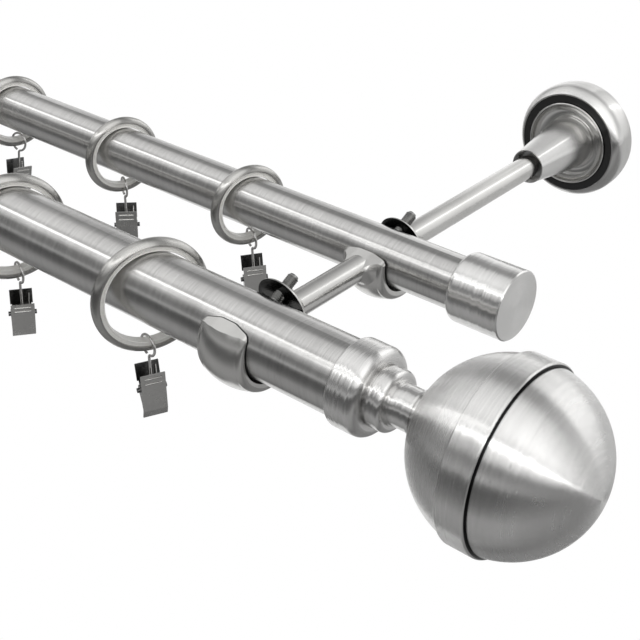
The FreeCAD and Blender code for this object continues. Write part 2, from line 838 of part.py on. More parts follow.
# Hook and clip, drawn with local X as the clip's front and local Y along its pin

def hook():
    """Wire bent into an open loop round the ring, a twisted shank, and an eye round the clip's pin."""
    radius = hook_loop_radius
    bend = hook_bend_radius
    eye = clip_pin_radius + pin_fit + hook_wire / 2
    top = V(0, 0, -hook_loop_drop)
    low = V(0, 0, -hook_loop_drop - hook_length)
    leave = -math.acos(bend / (radius + bend))
    tip = math.radians(-90 - hook_tip_angle)
    upper_bend = top + polar(radius + bend, leave)
    shank_top = upper_bend - V(bend, 0, 0)
    enter = math.pi - math.acos(bend / (eye + bend))
    lower_bend = low + polar(eye + bend, enter)
    shank_low = lower_bend + V(bend, 0, 0)
    eye_tip = math.radians(360 + hook_eye_tip_angle)
    loop = [
        arc_about(top, radius, tip, leave - 2 * math.pi),
        arc_about(upper_bend, bend, leave + math.pi, math.pi),
    ]
    for edge in loop:
        edge.rotate(V(0, 0, 0), V(0, 0, 1), hook_turn)
    edges = loop + [
        Part.LineSegment(shank_top, shank_low).toShape(),
        arc_about(lower_bend, bend, 0, enter - math.pi),
        arc_about(low, eye, enter, eye_tip),
    ]
    return wire_rod(edges, hook_wire / 2)


def polar(radius, angle):
    """Point in the hook's plane."""
    return V(radius * math.cos(angle), 0, radius * math.sin(angle))


def arc_about(centre, radius, first, last):
    """Arc in the hook's plane from one angle to another, the way the angles run."""
    middle = (first + last) / 2
    return Part.Arc(centre + polar(radius, first), centre + polar(radius, middle),
                    centre + polar(radius, last)).toShape()


def pin_drop():
    """How far the clip's pin lies under the ring's section."""
    return hook_loop_drop + hook_length


def jaw_line(side, rise):
    """Inner side of a jaw from the lever's top over the knee to the foot; side is +1 for the front jaw."""
    return [V(side * (lever_spread - clip_sheet), 0, rise), V(side * jaw_knee_gap / 2, 0, -jaw_knee_drop),
            V(side * jaw_bite_gap / 2, 0, -jaw_drop)]


def jaw_inner_x(line, height):
    """Where a jaw's inner side stands at a height above the pin."""
    upper, lower = line[:2] if height > line[1].z else line[1:]
    return lower.x + (height - lower.z) / (upper.z - lower.z) * (upper.x - lower.x)


def jaw_plate(width, points, side):
    """Bent sheet whose inner side runs through points from top to foot, growing outwards."""
    normals = []
    for upper, lower in zip(points, points[1:]):
        way = upper - lower
        normals.append(V(side * way.z, 0, -side * way.x).normalize())
    outer = []
    for i, point in enumerate(points):
        before = normals[max(i - 1, 0)]
        after = normals[min(i, len(normals) - 1)]
        middle = (before + after).normalize()
        outer.append(point + middle * (clip_sheet / middle.dot(before)))
    outline = points + outer[::-1] + points[:1]
    face = Part.Face(Part.makePolygon(outline))
    return face.extrude(V(0, width, 0)).translated(V(0, -width / 2, 0))


def jaw_ear(at_y, line, side):
    """Side ear in a plane across the pin: a tapering flange with a round lug about the pin."""
    lug = rod(V(0, at_y, 0), V(0, 1, 0), ear_radius, clip_sheet)
    low = V(jaw_inner_x(line, -ear_drop), at_y, -ear_drop)
    high = V(jaw_inner_x(line, ear_radius), at_y, ear_radius)
    outline = Part.makePolygon([low, high, V(0, at_y, ear_radius), V(-side * ear_radius, at_y, 0), low])
    return [lug, Part.Face(outline).extrude(V(0, clip_sheet, 0))]


def clip_front_jaw():
    """Front stamping: lever, plate with two pressed ridges, and two ears outside the back jaw's."""
    line = jaw_line(1, front_jaw_rise)
    pieces = [jaw_plate(front_jaw_width, line, 1)]
    for at_y in (-front_jaw_width / 2, front_jaw_width / 2 - clip_sheet):
        pieces += jaw_ear(at_y, line, 1)
    for drop in ridge_drops:
        height = front_jaw_rise - drop
        start = V(jaw_inner_x(line, height) + clip_sheet, -ridge_length / 2, height)
        pieces.append(rod(start, V(0, 1, 0), ridge_radius, ridge_length))
    jaw = joined(pieces)
    hole = rod(V(0, -front_jaw_width, 0), V(0, 1, 0), clip_pin_radius + pin_fit, 2 * front_jaw_width)
    return jaw.cut(hole)


def clip_back_jaw():
    """Back stamping with its taller lever, inner ears and the rolled tube that both jaws turn on."""
    line = jaw_line(-1, back_jaw_rise)
    inner_width = front_jaw_width - 2 * (clip_sheet + ear_gap)
    waist = V(jaw_inner_x(line, back_waist_rise), 0, back_waist_rise)
    pieces = [jaw_plate(back_jaw_width, [line[0], waist], -1),
              jaw_plate(inner_width, [waist, line[1], line[2]], -1)]
    for at_y in (-inner_width / 2, inner_width / 2 - clip_sheet):
        pieces += jaw_ear(at_y, line, -1)
    half = front_jaw_width / 2 + clip_pin_overhang
    pieces.append(rod(V(0, -half, 0), V(0, 1, 0), clip_pin_radius, 2 * half))
    jaw = joined(pieces)
    for at_y in (-half, half - clip_pin_bore_depth):
        jaw = jaw.cut(rod(V(0, at_y, 0), V(0, 1, 0), clip_pin_bore, clip_pin_bore_depth))
    return jaw


def spring_leg_angle(radius, rise, jaw_rise):
    """Slope at which a leg leaves the coil so that its tip lies on the inner face of its lever."""
    target = jaw_inner_x(jaw_line(1, jaw_rise), rise) - spring_wire / 2 - sleeve_clearance
    reach = math.hypot(target, rise)
    return math.atan2(target, rise) - math.asin(radius / reach)


def clip_spring():
    """Torsion spring on the tube: a few close turns and a leg up the inside of each lever."""
    wire = spring_wire / 2
    radius = clip_pin_radius + pin_fit + wire
    pitch = spring_wire + spring_coil_gap
    front_slope = spring_leg_angle(radius, spring_leg_front, front_jaw_rise)
    back_slope = spring_leg_angle(radius, spring_leg_back, back_jaw_rise)
    turns = spring_full_turns + 0.5 - (front_slope + back_slope) / (2 * math.pi)
    coil = Part.makeHelix(pitch, turns * pitch, radius)
    coil.rotate(V(0, 0, 0), V(0, 0, 1), math.degrees(front_slope))
    coil.rotate(V(0, 0, 0), V(1, 0, 0), -90)
    creep = pitch / (2 * math.pi * radius)
    front_way = V(math.sin(front_slope), -creep, math.cos(front_slope))
    back_way = V(-math.sin(back_slope), creep, math.cos(back_slope))
    front_root = V(radius * math.cos(front_slope), 0, -radius * math.sin(front_slope))
    back_root = V(-radius * math.cos(back_slope), turns * pitch, -radius * math.sin(back_slope))
    front_tip = front_root + front_way * ((spring_leg_front - front_root.z) / front_way.z)
    back_tip = back_root + back_way * ((spring_leg_back - back_root.z) / back_way.z)
    edges = [Part.LineSegment(front_tip, front_root).toShape()]
    edges += coil.Edges
    edges.append(Part.LineSegment(back_root, back_tip).toShape())
    return wire_rod(edges, wire).translated(V(0, spring_start + wire, 0))


def write(name, shape):
    """One STEP file per piece."""
    shape.exportStep("parts/%s.step" % name)


def build():
    """Every piece by name."""
    nodes = {
        "front_pole": tube(front_pole_radius, pole_wall, half_spacing + front_pole_overhang)
        .translated(V(0, -front_reach, 0)),
        "rear_pole": tube(rear_pole_radius, pole_wall, half_spacing + rear_pole_overhang)
        .translated(V(0, -rear_reach, 0)),
        "clamp_screws": clamp_screws(),
        "grub_screws": grub_screws(),
    }
    right = {
        "bracket_arm": bracket_arm().translated(V(half_spacing, 0, 0)),
        "wall_plate": wall_plate().translated(V(half_spacing, 0, 0)),
        "rosette": rosette().translated(V(half_spacing, 0, 0)),
        "rosette_insert": rosette_insert().translated(V(half_spacing, 0, 0)),
        "inner_cup": inner_cup().translated(V(half_spacing, 0, 0)),
        "cone_cover": cone_cover().translated(V(half_spacing, 0, 0)),
        "finial_neck": finial_side(finial_neck()),
        "ball_back_shell": finial_side(ball_back_shell()),
        "ball_front_shell": finial_side(ball_front_shell()),
        "rear_end_cap": rear_end_cap(),
    }
    for name, shape in right.items():
        nodes["right_" + name] = shape
        nodes["left_" + name] = mirrored_in_x(shape)
    for place in ring_places():
        name = place["name"]
        at_ring = ring_placement(place)
        size = (place["outer"], place["inner"], place["width"])
        nodes[name] = ring_metal(*size).transformed(at_ring.toMatrix())
        nodes[name + "_liner"] = ring_liner(*size).transformed(at_ring.toMatrix())
        at_pin = pin_placement(place)
        nodes[name + "_hook"] = hook().transformed(hang_placement(place).toMatrix())
        nodes[name + "_clip_back"] = clip_back_jaw().transformed(at_pin.toMatrix())
        nodes[name + "_clip_front"] = clip_front_jaw().transformed(at_pin.toMatrix())
        nodes[name + "_clip_spring"] = clip_spring().transformed(at_pin.toMatrix())
    return nodes


os.makedirs("parts", exist_ok=True)
for node, solid in build().items():
    write(node, solid)
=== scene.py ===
import json
import math

import bpy
from mathutils import Matrix, Vector

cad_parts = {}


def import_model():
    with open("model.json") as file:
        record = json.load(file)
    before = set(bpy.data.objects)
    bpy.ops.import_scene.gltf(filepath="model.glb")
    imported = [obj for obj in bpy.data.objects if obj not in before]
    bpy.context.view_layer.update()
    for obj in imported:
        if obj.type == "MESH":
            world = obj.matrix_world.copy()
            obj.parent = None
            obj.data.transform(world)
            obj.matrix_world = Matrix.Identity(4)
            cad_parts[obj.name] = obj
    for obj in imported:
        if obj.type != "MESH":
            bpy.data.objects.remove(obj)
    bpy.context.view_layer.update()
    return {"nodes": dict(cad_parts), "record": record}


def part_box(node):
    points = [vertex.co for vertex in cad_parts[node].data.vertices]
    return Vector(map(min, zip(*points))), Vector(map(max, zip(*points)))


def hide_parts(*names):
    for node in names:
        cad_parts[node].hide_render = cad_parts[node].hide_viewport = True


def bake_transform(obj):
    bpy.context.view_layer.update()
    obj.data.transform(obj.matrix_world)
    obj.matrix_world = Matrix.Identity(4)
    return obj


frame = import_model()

NODES = frame["nodes"]
MM = 0.001


def middle(node):
    """Centre of a CAD node's box."""
    low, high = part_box(node)
    return (low + high) / 2


# Where the turned parts' axes lie, in metres, and how far the rings are turned, in degrees
BRACKET_X = float(middle("right_bracket_arm")[0])
FRONT_Y = float(middle("front_pole")[1])
REAR_Y = float(middle("rear_pole")[1])
FRONT_AXIS = (0.0, FRONT_Y, 0.0)
REAR_AXIS = (0.0, REAR_Y, 0.0)
ALONG_X = (1.0, 0.0, 0.0)
ALONG_Y = (0.0, 1.0, 0.0)
FRONT_YAW = 20.0
REAR_YAW = 15.5

# The object's two ends, with the way along X that each one lies, and the rings on each pole
SIDES = {"right": 1, "left": -1}
RINGS_ON_A_POLE = 3

# The casting's walls lean over the poles by these degrees, and their faces are these millimetres from the
# poles' axes
WALL_LEAN = 12.0
FRONT_WALL_AT = 14.9
REAR_WALL_AT = 10.0
# The faces, to within so many millimetres, get a painted dark reflection and shade, and what is nearer to
# an axis than the cup's value gets painted shade
FACE_REACH = 0.08
FRONT_CUP_SHADOW = 12.95
REAR_CUP_SHADOW = 9.95

# The two edges of the seam between a ball's shells, where shade is painted on, in millimetres out from the
# bracket
SEAM = (100.15, 100.7)

# The photograph's camera: angles in degrees, and its place and sensor in millimetres. The place is counted
# from the front pole's axis at the right-hand bracket
AZIMUTH = 40.25
ELEVATION = 32.01
ROLL = 0.15
FOCAL_PX = 1206.2
PHOTO_PX = 640
SENSOR = 36.0
CAMERA_RIGHT = 21.79
CAMERA_UP = 3.85
CAMERA_BACK = 378.0
FRAME_HALF = PHOTO_PX / 2 / FOCAL_PX
# The nearest and furthest that it sees, in metres
NEAREST = 0.01
FURTHEST = 60.0

# Brightness round the X axis: degrees up from the front horizon over the top, and how bright; 1 looks white
SKY = ((-180, 0.80), (-100, 0.80), (-80, 0.13), (-8, 0.13), (-3, 0.16), (1, 0.30), (3, 0.54), (8, 0.50),
       (11, 0.34), (16, 0.28), (24, 0.24), (33, 0.26), (38, 0.48), (46, 0.76), (57.5, 1.05), (59, 2.9),
       (63.5, 2.9), (65, 0.80), (70, 0.68), (75, 0.95), (82, 1.10), (92, 1.05), (106, 0.95), (116, 0.84),
       (122, 0.60), (128, 0.36), (146, 0.33), (152, 0.44), (158, 0.57), (166, 0.74), (174, 0.90),
       (180, 1.05))
# Past this range of a direction's X part, towards +X, the soft boxes stand lower by so many degrees
SLANT = 16.0
SLANT_RANGE = (-0.65, -0.35)
# Past the same range, the low back is dimmed to this share, between these degrees
BACK_FADE = 0.61
BACK_RANGE = (150.0, 172.0)
# Past this range of the X part, the sky is brighter by this share
RIGHT_GAIN = 0.55
RIGHT_RANGE = (-0.1, 0.6)
# The slant and the gain set in over these degrees up from the front horizon
RISE_RANGE = (12.0, 30.0)
# More light past this range of the Y part, which looks back over the wall, by the degrees up from +X
SIDE = ((-180, 0.0), (10, 0.0), (20, 0.15), (28, 0.34), (44, 0.62), (53, 0.85), (54, 1.9), (60, 1.9),
        (62, 0.75), (70, 0.60), (90, 0.48), (110, 0.25), (130, 0.0), (180, 0.0))
SIDE_RANGE = (0.52, 0.68)

# The floor's height and half of its width, in metres
FLOOR_Z = -1.6
FLOOR_HALF = 14.0
# How pale the floor is, by the metres ahead of the wall
FLOOR_TONES = ((-1.0, 0.27), (0.0, 0.26), (0.2, 0.20), (0.45, 0.24), (0.7, 0.33), (1.2, 0.38), (2.0, 0.38),
               (2.6, 0.25), (3.5, 0.16), (5.2, 0.13), (9.0, 0.12))
# Its pale part lies behind a slanting line and to the left, with soft edges over these metres
PALE = 0.97
PALE_SLOPE = 0.8
PALE_RANGE = (-0.95, -0.6)
PALE_LEFT = (0.3, 0.5)
# Its middling part lies this many metres behind the wall
MIDDLING = 0.62
MIDDLING_RANGE = (1.3, 1.6)
# It is faintly mottled
FLOOR_MOTTLE = 0.02
MOTTLE_SCALE = 3.0
# Where the part that mirrors white fades out, in halves of the photograph's frame
WHITE_EDGE = (1.08, 1.5)

# Soft cards behind the brackets, with sizes and places in metres
CARD_SIZE = (0.14, 0.15)
CARD_BRIGHTNESS = 0.4
CARD_LEFT = 0.08
CARD_BEHIND = 0.09
CARD_UP = 0.06

# A noise texture's values lie mostly between these
NOISE_LIMITS = (0.3, 0.7)

# Scratches round an axis: what a radian counts for in millimetres, and the broad ones' scale and tone as
# shares of the fine ones'
SCRATCH_RADIAN = 0.55
BROAD_SCALE = 0.23
BROAD_SHARE = 0.5
# Blotches round an axis, with a scale of their own
BLOTCH_RADIAN = 9.0
BLOTCH_SCALE = 0.07
BLOTCH_TONE = 0.04
# Deep marks, which show where their noise is over these limits
DEEP_RADIAN = 3.2
DEEP_SCALE = 0.8
DEEP_LIMITS = (0.70, 0.80)
DEEP_TONE = 0.4
# Lines and specks that tilt the surface
TEETH_RADIAN = 0.15
TEETH_SCALE = 0.7
SPECK_SCALE = 1000.0
# How the gloss follows the scratches and blotches, as shares of the contrast
FINE_GLOSS = (-0.5, 0.6)
BLOTCH_GLOSS = 0.3

# Unevenness of plain metal and of plastic, in tone and in gloss
PLAIN_BLOTCH_SCALE = 0.15
PLAIN_BLOTCH = 0.05
PLAIN_GLOSS = (-0.04, 0.05)
PLASTIC_TONE = (0.94, 1.05)
PLASTIC_GLOSS = (-0.04, 0.04)

# Colours that more than one material or function uses
NICKEL = (0.57, 0.565, 0.555)
BRIGHT = (0.71, 0.705, 0.695)
# Nearly black, painted on as shade
PAINTED_SHADE = (0.05, 0.05, 0.05)
WHITE = (1.0, 1.0, 1.0)


# Node helpers

def rgb(r, g, b):
    """An opaque colour."""
    return (r, g, b, 1.0)


class Tree:
    """Short way to add shader nodes and link them."""

    def __init__(self, tree):
        self.tree = tree
        self.tree.nodes.clear()

    def add(self, kind, inputs=None, **props):
        """A new node with its properties set, and its inputs set or linked."""
        node = self.tree.nodes.new(kind)
        for key, value in props.items():
            setattr(node, key, value)
        for key, value in (inputs or {}).items():
            self.put(node.inputs[key], value)
        return node

    def put(self, socket, value):
        """Links a socket or a node's first output to an input, or sets the input to a plain value."""
        if isinstance(value, bpy.types.NodeSocket):
            self.tree.links.new(value, socket)
        elif isinstance(value, bpy.types.Node):
            self.tree.links.new(value.outputs[0], socket)
        else:
            socket.default_value = value

    def math(self, op, *values):
        """The result of a calculation with plain values."""
        return self.add("ShaderNodeMath", dict(enumerate(values)), operation=op).outputs[0]

    def total(self, first, *others):
        """The sum of two or more values."""
        for value in others:
            first = self.math("ADD", first, value)
        return first

    def vec(self, op, *values):
        """The result of a calculation with vectors."""
        node = self.add("ShaderNodeVectorMath", dict(enumerate(values)), operation=op)
        return node.outputs["Value" if op in ("DOT_PRODUCT", "LENGTH") else "Vector"]

    def scaled(self, vector, value):
        """A vector times a value."""
        node = self.add("ShaderNodeVectorMath", {0: vector}, operation="SCALE")
        self.put(node.inputs["Scale"], value)
        return node.outputs["Vector"]

    def xyz(self, x, y, z):
        """A vector of three parts."""
        return self.add("ShaderNodeCombineXYZ", {0: x, 1: y, 2: z}).outputs[0]

    def parts(self, vector):
        """The X, Y and Z parts of a vector."""
        return self.add("ShaderNodeSeparateXYZ", {0: vector}).outputs

    def grey(self, value):
        """A grey as bright as a value."""
        return self.xyz(value, value, value)

    def tinted(self, colour, tone):
        """A colour made darker or paler by a tone, where 1 leaves it as it is."""
        return self.vec("MULTIPLY", self.xyz(*colour), self.grey(tone))

    def place(self):
        """Where a point is on the object at rest, in the frame's metres."""
        return self.add("ShaderNodeTexCoord").outputs["Object"]

    def noise(self, vector, scale, detail=2.0, roughness=0.5):
        """Smooth noise from 0 to 1, so many lumps to a unit of the vector."""
        inputs = {"Vector": vector, "Scale": scale, "Detail": detail, "Roughness": roughness}
        return self.add("ShaderNodeTexNoise", inputs).outputs[0]

    def span(self, value, low, high, to_low, to_high):
        """A value brought from one range to another, and held inside it."""
        inputs = {"Value": value, "From Min": low, "From Max": high, "To Min": to_low, "To Max": to_high}
        return self.add("ShaderNodeMapRange", inputs).outputs[0]

    def fitted(self, noise, to_low, to_high):
        """A noise's usual values, brought to a new range."""
        return self.span(noise, *NOISE_LIMITS, to_low, to_high)

    def smooth(self, value, low, high):
        """0 below a range and 1 above it, with a smooth step between."""
        inputs = {"Value": value, "From Min": low, "From Max": high}
        return self.add("ShaderNodeMapRange", inputs, interpolation_type="SMOOTHSTEP").outputs[0]

    def ramp(self, value, stops):
        """Straight lines between stops, which are pairs of a place and a brightness."""
        first = stops[0][0]
        length = stops[-1][0] - first
        peak = max(tone for _, tone in stops)
        node = self.add("ShaderNodeValToRGB", {0: self.span(value, first, first + length, 0, 1)})
        elements = node.color_ramp.elements
        for place, _ in stops[1:-1]:
            elements.new((place - first) / length)
        for element, (_, tone) in zip(elements, stops):
            element.color = rgb(tone / peak, tone / peak, tone / peak)
        return self.math("MULTIPLY", node.outputs[0], peak)

    def mix_rgb(self, factor, a, b):
        """A mix of two colours; a Mix node keeps its colour sockets at these places."""
        node = self.add("ShaderNodeMix", {0: factor, 6: a, 7: b}, data_type="RGBA")
        return node.outputs[2]


def material(name):
    """A new material with its tree of nodes and its shader."""
    made = bpy.data.materials.new(name)
    made.use_nodes = True
    tree = Tree(made.node_tree)
    shader = tree.add("ShaderNodeBsdfPrincipled")
    tree.add("ShaderNodeOutputMaterial", {"Surface": shader})
    return made, tree, shader


def bump(tree, shader, height, strength, relief, normal=None):
    """Bumps a shader's surface by a height from 0 to 1; relief is what 1 stands for, in millimetres."""
    inputs = {"Strength": strength, "Distance": relief * MM, "Height": height}
    if normal is not None:
        inputs["Normal"] = normal
    tree.put(shader.inputs["Normal"], tree.add("ShaderNodeBump", inputs))


def with_painted_shade(tree, base, dark):
    """A base colour with shade painted on it, nearly black where a mask says so."""
    if dark is None:
        return base
    return tree.mix_rgb(dark(tree), base, rgb(*PAINTED_SHADE))


def dress(made, *names):
    """Gives a finished material to CAD nodes."""
    for name in names:
        data = NODES[name].data
        data.materials.clear()
        data.materials.append(made)


# Kinds of material

def turned_space(tree, point, axis):
    """Coordinates about a turning axis.

    They are the millimetres along it and away from it, the way out from it, and the surface's tangents
    round it and along it.
    """
    rel = tree.scaled(tree.vec("SUBTRACT", tree.place(), point), 1 / MM)
    along = tree.vec("DOT_PRODUCT", rel, axis)
    radial = tree.vec("SUBTRACT", rel, tree.scaled(tree.xyz(*axis), along))
    radius = tree.vec("LENGTH", radial)
    way = tree.vec("NORMALIZE", radial)
    around = tree.vec("CROSS_PRODUCT", tree.xyz(*axis), way)
    around = tree.add("ShaderNodeVectorTransform", {0: around}, vector_type="VECTOR",
                      convert_from="OBJECT", convert_to="WORLD").outputs[0]
    normal = tree.add("ShaderNodeNewGeometry").outputs["Normal"]
    meridian = tree.vec("NORMALIZE", tree.vec("CROSS_PRODUCT", around, normal))
    return along, radius, way, around, meridian


def ringed_noise(tree, across, way, radian, scale, detail, roughness=0.5):
    """Noise drawn out round an axis, so that a radian round it counts as only so many millimetres."""
    return tree.noise(tree.vec("ADD", across, tree.scaled(way, radian)), scale, detail, roughness)


def turned_metal(name, point, axis, colour=NICKEL, roughness=0.24, anisotropy=0.95, lines=2.6,
                 contrast=0.10, relief=0.012, marks=0.35, teeth=0.006, spread=0.0, dark=None):
    """Metal brushed round an axis: fine and broad rings of scratches, soft blotches and a few deep marks.

    lines is how close the scratches are, relief their depth in millimetres and marks how dark the deep ones
    are. teeth tilts the surface round the axis, line by line, and spread tilts it along the axis, speck by
    speck. dark, where it is given, makes the mask of where shade is painted on nearly black.
    """
    made, tree, shader = material(name)
    along, radius, way, around, meridian = turned_space(tree, point, axis)
    across = tree.scaled(tree.xyz(*axis), tree.math("ADD", along, radius))
    fine = ringed_noise(tree, across, way, SCRATCH_RADIAN, lines, detail=5.0, roughness=0.72)
    broad = ringed_noise(tree, across, way, SCRATCH_RADIAN, lines * BROAD_SCALE, detail=3.0, roughness=0.6)
    blotch = ringed_noise(tree, across, way, BLOTCH_RADIAN, BLOTCH_SCALE, detail=2.0)
    deep = ringed_noise(tree, across, way, DEEP_RADIAN, lines * DEEP_SCALE, detail=1.0)

    tone = tree.total(tree.fitted(fine, -contrast, contrast),
                      tree.fitted(broad, -contrast * BROAD_SHARE, contrast * BROAD_SHARE),
                      tree.fitted(blotch, -BLOTCH_TONE, BLOTCH_TONE), 1.0)
    mark = tree.math("MULTIPLY", tree.smooth(deep, *DEEP_LIMITS), marks * DEEP_TONE)
    tone = tree.math("SUBTRACT", tone, mark)
    tree.put(shader.inputs["Base Color"], with_painted_shade(tree, tree.tinted(colour, tone), dark))
    gloss = tree.total(tree.fitted(fine, contrast * FINE_GLOSS[0], contrast * FINE_GLOSS[1]),
                       tree.fitted(blotch, -contrast * BLOTCH_GLOSS, contrast * BLOTCH_GLOSS), roughness)
    tree.put(shader.inputs["Roughness"], gloss)
    shader.inputs["Metallic"].default_value = 1.0
    shader.inputs["Anisotropic"].default_value = anisotropy
    tree.put(shader.inputs["Tangent"], meridian)

    line = ringed_noise(tree, across, way, TEETH_RADIAN, lines * TEETH_SCALE, detail=2.0)
    normal = tree.add("ShaderNodeNewGeometry").outputs["Normal"]
    normal = tree.vec("ADD", normal, tree.scaled(around, tree.fitted(line, -teeth, teeth)))
    if spread:
        speck = tree.add("ShaderNodeTexWhiteNoise", {"Vector": tree.scaled(way, SPECK_SCALE)})
        tilt = tree.span(speck.outputs["Value"], 0, 1, -spread, spread)
        normal = tree.vec("ADD", normal, tree.scaled(meridian, tilt))
    bump(tree, shader, fine, strength=0.6, relief=relief, normal=tree.vec("NORMALIZE", normal))
    return made


def plain_metal(name, colour, roughness, grain=1.2, relief=0.01, contrast=0.06, dark=None):
    """Metal without a turning axis: soft unevenness in tone, gloss and surface, and shade painted on nearly
    black where dark gives a mask.
    """
    made, tree, shader = material(name)
    place = tree.scaled(tree.place(), 1 / MM)
    fine = tree.noise(place, grain, detail=4.0, roughness=0.6)
    blotch = tree.noise(place, grain * PLAIN_BLOTCH_SCALE)
    tone = tree.total(tree.fitted(fine, 1 - contrast, 1 + contrast),
                      tree.fitted(blotch, -PLAIN_BLOTCH, PLAIN_BLOTCH))
    tree.put(shader.inputs["Base Color"], with_painted_shade(tree, tree.tinted(colour, tone), dark))
    tree.put(shader.inputs["Roughness"], tree.total(tree.fitted(fine, *PLAIN_GLOSS), roughness))
    shader.inputs["Metallic"].default_value = 1.0
    bump(tree, shader, fine, strength=0.5, relief=relief)
    return made


def plastic(name, colour, roughness, grain=2.0, relief=0.004):
    """Moulded plastic with a faint mottled gloss."""
    made, tree, shader = material(name)
    fine = tree.noise(tree.scaled(tree.place(), 1 / MM), grain, detail=3.0)
    tree.put(shader.inputs["Base Color"], tree.tinted(colour, tree.fitted(fine, *PLASTIC_TONE)))
    tree.put(shader.inputs["Roughness"], tree.total(tree.fitted(fine, *PLASTIC_GLOSS), roughness))
    bump(tree, shader, fine, strength=0.4, relief=relief)
    return made


# Masks of painted shade and dark reflection

def painted_cradle_shade(tree):
    """Mask of painted shade: the faces of the walls behind the poles, painted as a dark reflection too, and
    what is close to the poles in the cradles' cups.
    """
    place = tree.place()
    lean = math.radians(WALL_LEAN)
    dark = 0.0
    cradles = ((FRONT_AXIS, FRONT_WALL_AT, FRONT_CUP_SHADOW), (REAR_AXIS, REAR_WALL_AT, REAR_CUP_SHADOW))
    for axis, wall_at, cup_shadow in cradles:
        rel = tree.scaled(tree.vec("SUBTRACT", place, axis), 1 / MM)
        away = tree.vec("DOT_PRODUCT", rel, (0.0, math.cos(lean), math.sin(lean)))
        gap = tree.math("ABSOLUTE", tree.math("SUBTRACT", away, wall_at))
        wall = tree.math("LESS_THAN", gap, FACE_REACH)
        radius = tree.vec("LENGTH", tree.vec("MULTIPLY", rel, (0.0, 1.0, 1.0)))
        cup = tree.math("LESS_THAN", radius, cup_shadow)
        dark = tree.math("MAXIMUM", dark, tree.math("MAXIMUM", wall, cup))
    return dark


def painted_seam_shade(tree):
    """Mask of the open seam between each ball's two shells, where shade is painted nearly black."""
    from_middle = tree.math("ABSOLUTE", tree.parts(tree.place())[0])
    out = tree.math("DIVIDE", tree.math("SUBTRACT", from_middle, BRACKET_X), MM)
    after = tree.math("GREATER_THAN", out, SEAM[0])
    return tree.math("MULTIPLY", after, tree.math("LESS_THAN", out, SEAM[1]))


# Materials of the pieces

def dress_poles():
    """The two poles."""
    dress(turned_metal("pole_front", FRONT_AXIS, ALONG_X, roughness=0.19), "front_pole")
    dress(turned_metal("pole_rear", REAR_AXIS, ALONG_X, roughness=0.19), "rear_pole")


def dress_ends():
    """The balls and their necks on the front pole, and the caps on the rear pole."""
    # The balls get painted shade, nearly black, in the seam between their shells
    ball = turned_metal("ball_brushed", FRONT_AXIS, ALONG_X, colour=BRIGHT, lines=2.2, contrast=0.07,
                        teeth=0.012, spread=0.34, dark=painted_seam_shade)
    neck = turned_metal("neck_brushed", FRONT_AXIS, ALONG_X, colour=BRIGHT, lines=2.2, contrast=0.07,
                        teeth=0.05)
    cap = turned_metal("cap_brushed", REAR_AXIS, ALONG_X, colour=BRIGHT, roughness=0.20, contrast=0.06,
                       teeth=0.045)
    for side in SIDES:
        dress(ball, side + "_ball_back_shell", side + "_ball_front_shell")
        dress(neck, side + "_finial_neck")
        dress(cap, side + "_rear_end_cap")


def dress_brackets():
    """The castings, their screws, and the cones, rosettes, cups and plates at the wall."""
    dark_screw = plain_metal("dark_screw", colour=(0.30, 0.30, 0.295), roughness=0.22)
    # The casting gets nearly black painted shade on its walls' faces and in its cups
    casting = plain_metal("casting", colour=(0.60, 0.595, 0.58), roughness=0.22, grain=0.3, relief=0.002,
                          contrast=0.03, dark=painted_cradle_shade)
    insert = plastic("insert", colour=(0.02, 0.02, 0.02), roughness=0.12)
    zinc = plain_metal("zinc", colour=(0.5, 0.5, 0.5), roughness=0.35)
    dress(dark_screw, "clamp_screws", "grub_screws")
    for side, sign in SIDES.items():
        at = (sign * BRACKET_X, 0.0, 0.0)
        cone = turned_metal(side + "_cone", at, ALONG_Y, colour=BRIGHT, roughness=0.18, contrast=0.03,
                            relief=0.004)
        rosette = turned_metal(side + "_rosette", at, ALONG_Y, colour=(0.65, 0.645, 0.635), roughness=0.20,
                               contrast=0.03, relief=0.004)
        cup = turned_metal(side + "_cup", at, ALONG_Y, colour=(0.70, 0.695, 0.68), roughness=0.14,
                           anisotropy=0.6, contrast=0.02, relief=0.0003, marks=0.0, teeth=0.0)
        dress(cone, side + "_cone_cover")
        dress(rosette, side + "_rosette")
        dress(cup, side + "_inner_cup")
        dress(insert, side + "_rosette_insert")
        dress(zinc, side + "_wall_plate")
        dress(casting, side + "_bracket_arm")


def dress_rings():
    """The rings, brushed each about its own axis, with their liners, hooks and clips."""
    liner = plastic("liner", colour=(0.80, 0.79, 0.76), roughness=0.35)
    wire = plain_metal("wire", colour=(0.58, 0.57, 0.56), roughness=0.16, relief=0.003)
    clip_face = plain_metal("clip_face", colour=(0.54, 0.535, 0.52), roughness=0.24, grain=0.25,
                            relief=0.0005, contrast=0.04)
    clip_dark = plain_metal("clip_dark", colour=(0.13, 0.13, 0.13), roughness=0.22, relief=0.003)
    for row, yaw in (("front", FRONT_YAW), ("rear", REAR_YAW)):
        turned = math.radians(yaw)
        axis = (math.cos(turned), -math.sin(turned), 0.0)
        for number in range(1, RINGS_ON_A_POLE + 1):
            name = "%s_ring_%d" % (row, number)
            band = turned_metal(name + "_metal", tuple(middle(name)), axis, colour=(0.44, 0.435, 0.42),
                                contrast=0.06, lines=1.6)
            dress(band, name)
            dress(liner, name + "_liner")
            dress(wire, name + "_hook", name + "_clip_spring")
            dress(clip_face, name + "_clip_front")
            dress(clip_dark, name + "_clip_back")


dress_poles()
dress_ends()
dress_brackets()
dress_rings()


# Copies of the clips' springs

